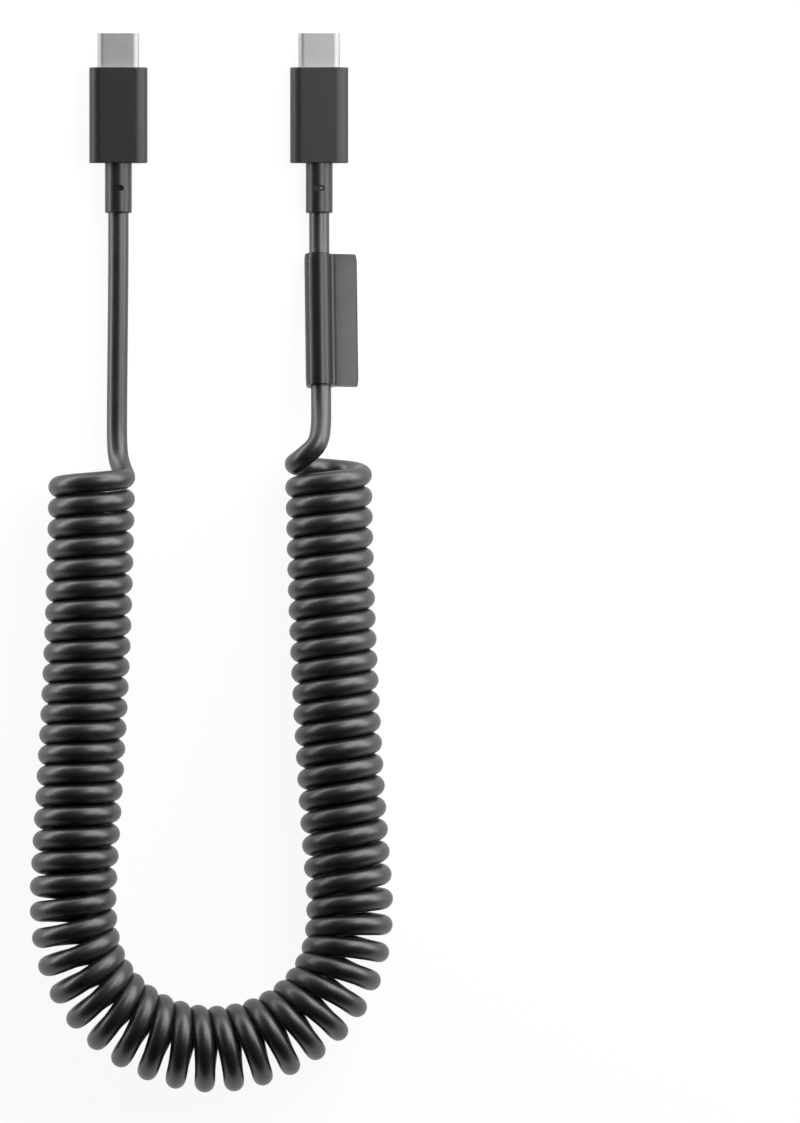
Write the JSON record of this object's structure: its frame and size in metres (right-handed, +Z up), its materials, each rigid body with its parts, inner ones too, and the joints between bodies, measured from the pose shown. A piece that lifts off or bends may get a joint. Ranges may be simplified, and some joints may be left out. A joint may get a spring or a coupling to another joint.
{
  "type": "usb-c charging cable",
  "caption": "Curly charging cable lying in a U, with a flat oval plug, housing and strain relief at each end and a folded tag gripped on one lead.",
  "frame": {"origin": "on the table under the middle of the cable's footprint as it lies in its U", "axes": "+Y from the bend of the U towards the plugs' mouths, +X to the right seen from above, +Z up"},
  "size_m": [0.0717, 0.2091, 0.017],
  "materials": {
    "plated_steel": "satin nickel plate",
    "black_insulator": "moulded, matte",
    "gold_contact": "gold plated",
    "spring_steel": "stamped, bright",
    "green_card": "solder mask",
    "tan_ceramic": "sintered ceramic",
    "black_chip": "moulded, matte",
    "wire_insulation": "extruded",
    "tinned_can": "drawn and tinned",
    "copper_braid": "tinned braid",
    "natural_mould": "moulded, milky",
    "housing_plastic": "fine satin texture",
    "boot_rubber": "satin moulded",
    "cord_jacket": "satin extruded",
    "tag_vinyl": "satin moulded"
  },
  "bodies": {
    "root": {"left_plug_shell": "plated_steel", "left_insulator": "black_insulator", "left_upper_contacts": "gold_contact", "left_lower_contacts": "gold_contact", "left_latch_plate": "spring_steel", "left_ground_springs": "spring_steel", "left_paddle_card": "green_card", "left_card_capacitors": "tan_ceramic", "left_wires": "wire_insulation", "left_shield_can": "tinned_can", "left_braided_core": "copper_braid", "left_jacket_end": "cord_jacket", "left_inner_mould": "natural_mould", "left_housing": "housing_plastic", "left_boot": "boot_rubber", "right_plug_shell": "plated_steel", "right_insulator": "black_insulator", "right_upper_contacts": "gold_contact", "right_lower_contacts": "gold_contact", "right_latch_plate": "spring_steel", "right_ground_springs": "spring_steel", "right_paddle_card": "green_card", "right_card_capacitors": "tan_ceramic", "right_wires": "wire_insulation", "right_shield_can": "tinned_can", "right_braided_core": "copper_braid", "right_jacket_end": "cord_jacket", "right_inner_mould": "natural_mould", "right_housing": "housing_plastic", "right_boot": "boot_rubber", "left_marker_chip": "black_chip", "left_lead": "cord_jacket", "right_lead": "cord_jacket", "coil": "cord_jacket", "cable_tag": "tag_vinyl"}
  },
  "joints": []
}
